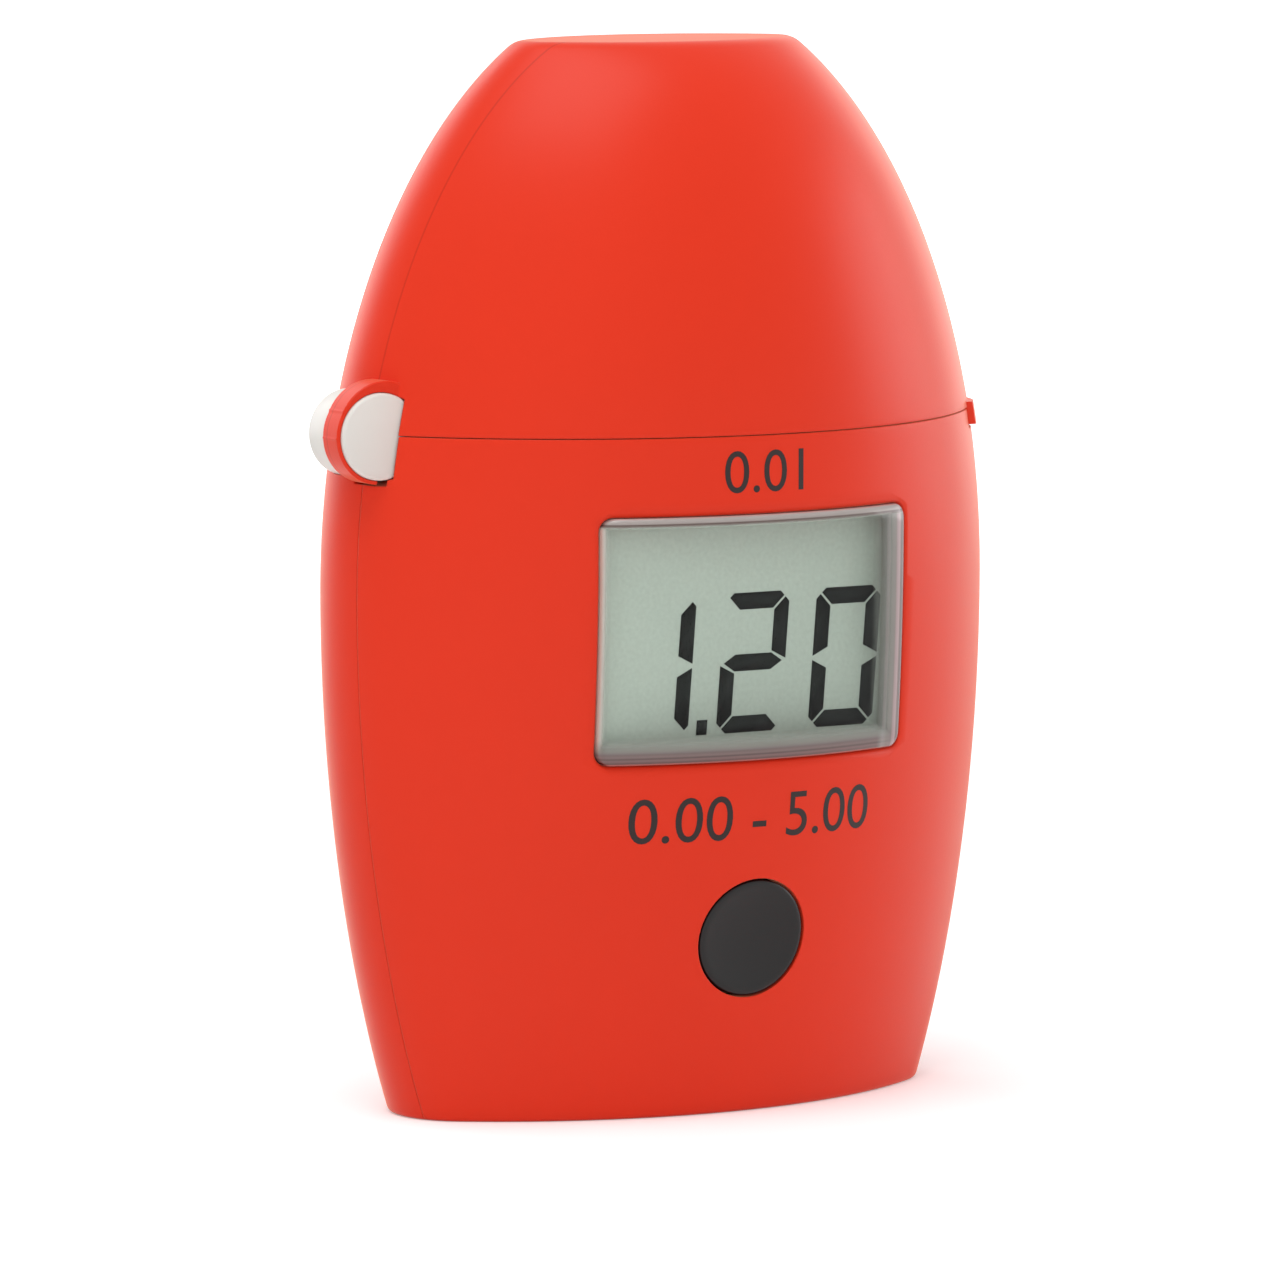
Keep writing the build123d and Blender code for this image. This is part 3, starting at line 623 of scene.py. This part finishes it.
def strapSolid():
    # A band swept round the journal: its outside is the larger of two circles, one of them off centre,
    # with two faint tool ridges across it
    degrees = np.linspace(hinge["from"], hinge["to"], hinge["strapSteps"])[:, None]
    angle = np.radians(degrees)
    sx, sz = hinge["crestX"], hinge["crestZ"]
    crest = (sx * np.cos(angle) + sz * np.sin(angle)
             + np.sqrt(hinge["crest"] ** 2 - (sx * np.sin(angle) - sz * np.cos(angle)) ** 2))
    outer = np.maximum(hinge["strap"], crest)
    for place in hinge["ridgesAt"]:
        outer = outer + hinge["ridge"] * np.exp(-((degrees - place) / hinge["ridgeWidth"]) ** 2)
    y0, y1, e = hinge["strapFront"], hinge["strapRear"], hinge["strapEdge"]
    y = np.array([y0 + e, y1 - e, y1, y1, y1 - e, y0 + e, y0, y0])
    cut = np.array([0, 0, 0, e, 0, 0, e, 0])
    onOutside = np.array([0, 0, 0, 1, 1, 1, 1, 0]) > 0
    rho = np.where(onOutside, outer - cut, hinge["journal"] + hinge["play"])
    return tube(np.stack([hinge["x"] + rho * np.cos(angle), np.broadcast_to(y, rho.shape),
                          hinge["z"] + rho * np.sin(angle)], 2))


lidStrap = makeObject("lidStrap", *strapSolid(), [lidAbs])
cavityZ = np.linspace(45, 66, 30)  # well above and below the strap
carve(lidStrap, [tube(ovalRings(cavityZ, np.full(len(cavityZ), case["wall"]), np.zeros(len(cavityZ))))])
lidLip = joined("lidLip", [endPatch(*latch[part]) for part in ("lip", "tongue", "tongueRoot")], [lidAbs])
merge(lidShell, [lidStrap, lidLip])
smoothUpTo(lidShell.data, cutCrease)
seat(lidShell, "lid", "lid")
stage("lid")


def journalSolid():
    # A turned bar whose two rims are softened by the same steps
    radius, front, rear, edge = hinge["journal"], hinge["front"], hinge["rear"], hinge["edge"]
    along, inward = hinge["rimStart"]
    rim = [(0.0, edge), (along * edge, inward * edge), (edge, 0.0)]
    profile = [(front, hinge["centre"]), *[(front + a, radius - b) for a, b in rim],
               *[(rear - a, radius - b) for a, b in rim[::-1]], (rear, hinge["centre"])]
    return turnedY(profile, hinge["x"], hinge["z"])


# Hinge block: the journal, its neck through the wall and the anchor inside it
neck = block(hinge["x"], hinge["neckEnd"], hinge["strapRear"] + hinge["neckStep"], hinge["rear"],
             hinge["z"] - hinge["journal"], hinge["neckTop"])
hingeBlock = joined("hingeBlock", [journalSolid(), neck, block(*hinge["anchor"])], [hingeAcetal],
                    smoothAngle=40)
seat(hingeBlock, "body", "hinge_block")
stage("hinge")


def lensSolid():
    # Rings of the window's outline, drawn in and raised to a rounded edge, then closed over the middle along
    # the curve of the front
    middle = (window["z0"] + window["z1"]) / 2
    spread = (window["width"] / 2, (window["z1"] - window["z0"]) / 2)
    play = window["play"]
    edgeX, edgeZ = roundedRect(-play)
    rings = [onFront(edgeX * scale, middle + (edgeZ - middle) * scale, window["back"])
             for scale in np.linspace(window["centre"], 1, window["backRings"])[:-1]]
    for inward, inset in window["edge"] + [(window["edgeReach"], -window["raise"])]:
        across, up = [(1 - (inward + play) / reach) / (1 - play / reach) for reach in spread]
        rings.append(onFront(edgeX * across, middle + (edgeZ - middle) * up, inset))
    topX, topZ = rings[-1][:, 0], rings[-1][:, 2]
    for scale in np.linspace(1, window["centre"], window["faceRings"])[1:]:
        rings.append(onFront(topX * scale, middle + (topZ - middle) * scale, -window["raise"]))
    return tube(np.stack(rings))


displayLens = makeObject("displayLens", *lensSolid(), [lensAcrylic], smoothAngle=50)
seat(displayLens, "body", "display_window")

# Digits of the display: "1.20" in seven-segment characters, flat on the glass
digits = {"y": -13.915, "thick": 0.02, "w": 6.02, "z0": 31.05, "z1": 42.25, "bar": 1.34, "gap": 0.13,
          "waist": 0.17, "cut": 0.85, "centrePoint": 0.15, "slant": 0.08, "dotX": -4.33, "dotW": 0.98,
          "dotH": 1.2}
segmentsOf = {"0": "abcdef", "1": "bc", "2": "abged"}
characters = [("1", -11.13), ("2", -2.5), ("0", 6.08)]


def segmentShapes():
    # Outlines of the segments on one cell: bars parted along the corner diagonals, with clipped outer corners
    w, h, bar, g = digits["w"], digits["z1"] - digits["z0"], digits["bar"], digits["gap"]
    c, m, s, waist = digits["cut"], h / 2, bar / 2, digits["waist"]
    point = waist + digits["centrePoint"]
    top = np.array([(c, h), (w - c, h), (w - c / 2 - g / 2, h - c / 2 + g / 2), (w - bar - g, h - bar),
                    (bar + g, h - bar), (c / 2 + g / 2, h - c / 2 + g / 2)])
    upper = np.array([(0, h - c), (c / 2 - g / 2, h - c / 2 - g / 2), (bar, h - bar - g),
                      (bar, m + s + waist), (0, m + waist)])
    centre = np.array([(point, m), (bar, m + s), (w - bar, m + s), (w - point, m), (w - bar, m - s),
                       (bar, m - s)])
    across, over = np.array([-1, 1]), np.array([1, -1])
    right, low = np.array([w, 0]), np.array([0, h])
    return {"a": top, "d": low + over * top, "f": upper, "b": right + across * upper, "e": low + over * upper,
            "c": right + across * (low + over * upper), "g": centre}


def onGlass(outline, left):
    # An outline leaned over by the slant and given the thickness of the segment layer
    x = left + outline[:, 0] + outline[:, 1] * digits["slant"]
    z = digits["z0"] + outline[:, 1]
    return tube(np.stack([np.column_stack([x, np.full_like(x, y), z])
                          for y in (digits["y"], digits["y"] - digits["thick"])]))


shapes = segmentShapes()
dot = np.array([(0, 0), (1, 0), (1, 1), (0, 1)]) * [digits["dotW"], digits["dotH"]]
displayDigits = joined("displayDigits", [onGlass(shapes[segment], left) for character, left in characters
                                         for segment in segmentsOf[character]]
                       + [onGlass(dot, digits["dotX"])], [segmentInk], smoothAngle=0)
seat(displayDigits, "body")
stage("display")


def keySolid():
    # Round key cut to the curve of the front, with a rolled rim and a shallow dish inside it
    angle = np.arange(button["steps"]) / button["steps"] * 2 * np.pi
    radius = np.array([r for r, _ in button["rim"]] + button["dishRadii"])
    sunk = np.array([depth for _, depth in button["rim"]] + [0.0] * len(button["dishRadii"]))
    dish = button["dish"] * (1 - (radius / button["flat"]) ** 2) - button["proud"]
    sunk = np.where(radius < button["flat"], dish, sunk)
    x = radius[:, None] * np.cos(angle)
    z = button["z"] + radius[:, None] * np.sin(angle)
    y = frontY(x, z) - button["proud"] + sunk[:, None]
    y[0] = button["back"]
    return tube(np.stack([x, y, z], 2))


pushButton = joined("pushButton", [keySolid(), block(*button["earsX"], button["earsFront"], button["back"],
                                                     *button["earsZ"])], [keyAbs], smoothAngle=50)
seat(pushButton, "button", "button")
stage("button")

# Plain printed numbers on the front
printing = {"lift": 0.012, "numbersBelow": ("0.00 - 5.00", 5.2, -0.3, 22.9),
            "numbersAbove": ("0.01", 4.8, -0.3, 50.8)}


def printedNumbers(name):
    # Flat numbers moved on to the front face, a print's thickness proud of it
    text, size, centreX, baseZ = printing[name]
    curve = bpy.data.curves.new(name, "FONT")
    curve.body, curve.size, curve.align_x, curve.resolution_u = text, size, "CENTER", 6
    drawn = bpy.data.objects.new(name + "Text", curve)
    bpy.context.scene.collection.objects.link(drawn)
    bpy.context.view_layer.update()
    mesh = bpy.data.meshes.new_from_object(drawn.evaluated_get(bpy.context.evaluated_depsgraph_get()))
    bpy.data.objects.remove(drawn)
    flat = np.empty(len(mesh.vertices) * 3, np.float32)
    mesh.vertices.foreach_get("co", flat)
    x, z = flat[0::3].astype(float) + centreX, flat[1::3].astype(float) + baseZ
    points = np.column_stack([x, frontY(x, z) - printing["lift"], z]) * mm
    mesh.vertices.foreach_set("co", points.astype(np.float32).ravel())
    mesh.materials.clear()
    mesh.materials.append(printInk)
    mesh.update()
    piece = bpy.data.objects.new(name, mesh)
    bpy.context.scene.collection.objects.link(piece)
    seat(piece, "body")


printedNumbers("numbersBelow")
printedNumbers("numbersAbove")
stage("printed numbers")

# Studio, in metres apart from the floor's half size: the floor's lift towards white grows from the object
# outward, and the room counts for less as a light than as a background
studio = {"floorHalf": 6000.0, "floorTones": (0.9, 0.91), "floorRough": 0.7, "floorSpecular": 0.1,
          "liftFrom": 0.25, "liftTo": 1.0, "floorLift": 0.24, "farLift": 0.8, "worldDiffuse": 0.45,
          "aim": (0, 0, 0.045)}


def seenRays(tree):
    # 1 for rays of the camera, of a reflection or through something clear, and 0 for light that scatters
    path = addNode(tree, "ShaderNodeLightPath")
    direct = addNode(tree, "ShaderNodeMath", {0: path.outputs["Is Camera Ray"],
                                              1: path.outputs["Is Glossy Ray"]}, operation="MAXIMUM")
    return addNode(tree, "ShaderNodeMath", {0: direct.outputs[0], 1: path.outputs["Is Transmission Ray"]},
                   operation="MAXIMUM").outputs[0]


# Floor: pale and matt paint, lifted to white where it is seen
floorPaint, tree = newMaterial("floorPaint")
coords = addNode(tree, "ShaderNodeTexCoord").outputs["Object"]
mottle = addNode(tree, "ShaderNodeTexNoise", {"Vector": coords, "Scale": 2.0})
darkTone, paleTone = studio["floorTones"]
tone = addNode(tree, "ShaderNodeMix", {"Factor": mottle.outputs["Fac"], 6: (*[darkTone] * 3, 1),
                                       7: (*[paleTone] * 3, 1)}, data_type="RGBA")
paint = addNode(tree, "ShaderNodeBsdfPrincipled", {"Base Color": tone.outputs[2],
                                                   "Roughness": studio["floorRough"],
                                                   "Specular IOR Level": studio["floorSpecular"]})
away = addNode(tree, "ShaderNodeVectorMath", {0: coords}, operation="LENGTH")
fade = addNode(tree, "ShaderNodeMapRange", {"Value": away.outputs["Value"],
                                            "From Min": studio["liftFrom"], "From Max": studio["liftTo"],
                                            "To Min": studio["floorLift"], "To Max": studio["farLift"]})
lifted = addNode(tree, "ShaderNodeMath", {0: seenRays(tree), 1: fade.outputs[0]}, operation="MULTIPLY")
glow = addNode(tree, "ShaderNodeEmission", {"Color": (1, 1, 1, 1), "Strength": lifted.outputs[0]})
both = addNode(tree, "ShaderNodeAddShader", {0: paint.outputs[0], 1: glow.outputs[0]})
finishMaterial(tree, both.outputs[0])
half = studio["floorHalf"]
floor = makeObject("floor", [[-half, -half, 0], [half, -half, 0], [half, half, 0], [-half, half, 0]],
                   [[0, 1, 2, 3]], [floorPaint], smoothAngle=0)

# Room: white where it is seen, weaker as a source of light
world = bpy.data.worlds.new("studio")
world.use_nodes = True
tree = world.node_tree
tree.nodes.clear()
strength = addNode(tree, "ShaderNodeMapRange", {"Value": seenRays(tree), "To Min": studio["worldDiffuse"],
                                                "To Max": 1.0})
sky = addNode(tree, "ShaderNodeBackground", {"Color": (1, 1, 1, 1), "Strength": strength.outputs[0]})
addNode(tree, "ShaderNodeOutputWorld", {"Surface": sky.outputs[0]})
bpy.context.scene.world = world


def softLight(name, place, size, power, glossy=True):
    # A square lamp aimed at the middle of the object, out of the camera's sight
    light = bpy.data.lights.new(name, "AREA")
    light.size = size
    light.energy = power
    lamp = bpy.data.objects.new(name, light)
    lamp.location = place
    lamp.rotation_euler = (Vector(studio["aim"]) - Vector(place)).to_track_quat("-Z", "Y").to_euler()
    lamp.visible_glossy = glossy
    lamp.visible_camera = False
    bpy.context.scene.collection.objects.link(lamp)


# Lamps: place and size in metres, power in watts; the front one fills and isn't mirrored
lamps = {"rightLight": {"place": (0.85, -0.12, 0.15), "size": 0.5, "power": 2.6},
         "topLight": {"place": (-0.2, -0.12, 0.85), "size": 0.55, "power": 4.0},
         "backLeftLight": {"place": (-0.2, 0.9, 0.35), "size": 0.7, "power": 2.6},
         "backRightLight": {"place": (0.75, 0.6, 0.15), "size": 0.6, "power": 1.4},
         "frontLight": {"place": (-0.55, -0.85, 0.4), "size": 0.8, "power": 2.7, "glossy": False}}
for lampName, lampSettings in lamps.items():
    softLight(lampName, **lampSettings)

# Camera at the photograph's viewing angle: angles in degrees, lengths in metres, and the focal length, centre
# and frame in pixels of the photograph
view = {"turn": 30.26, "pitch": 6.3115, "distance": 0.757, "height": 0.12092, "focal": 9384.1,
        "centreX": 654.7, "centreY": 639.29, "photo": 1280, "sensor": 36}
camera = bpy.data.cameras.new("camera")
camera.sensor_width = view["sensor"]
camera.lens = view["focal"] / view["photo"] * view["sensor"]
camera.shift_x = (view["photo"] / 2 - view["centreX"]) / view["photo"]
camera.shift_y = (view["centreY"] - view["photo"] / 2) / view["photo"]
camera.clip_start, camera.clip_end = 0.01, 50
cameraObject = bpy.data.objects.new("camera", camera)
turn = math.radians(view["turn"])
cameraObject.location = (-view["distance"] * math.sin(turn), -view["distance"] * math.cos(turn),
                         view["height"])
cameraObject.rotation_euler = (math.radians(90 - view["pitch"]), 0, -turn)
bpy.context.scene.collection.objects.link(cameraObject)
bpy.context.scene.camera = cameraObject
bpy.context.scene.view_settings.view_transform = "Standard"
stage("floor, light and camera")
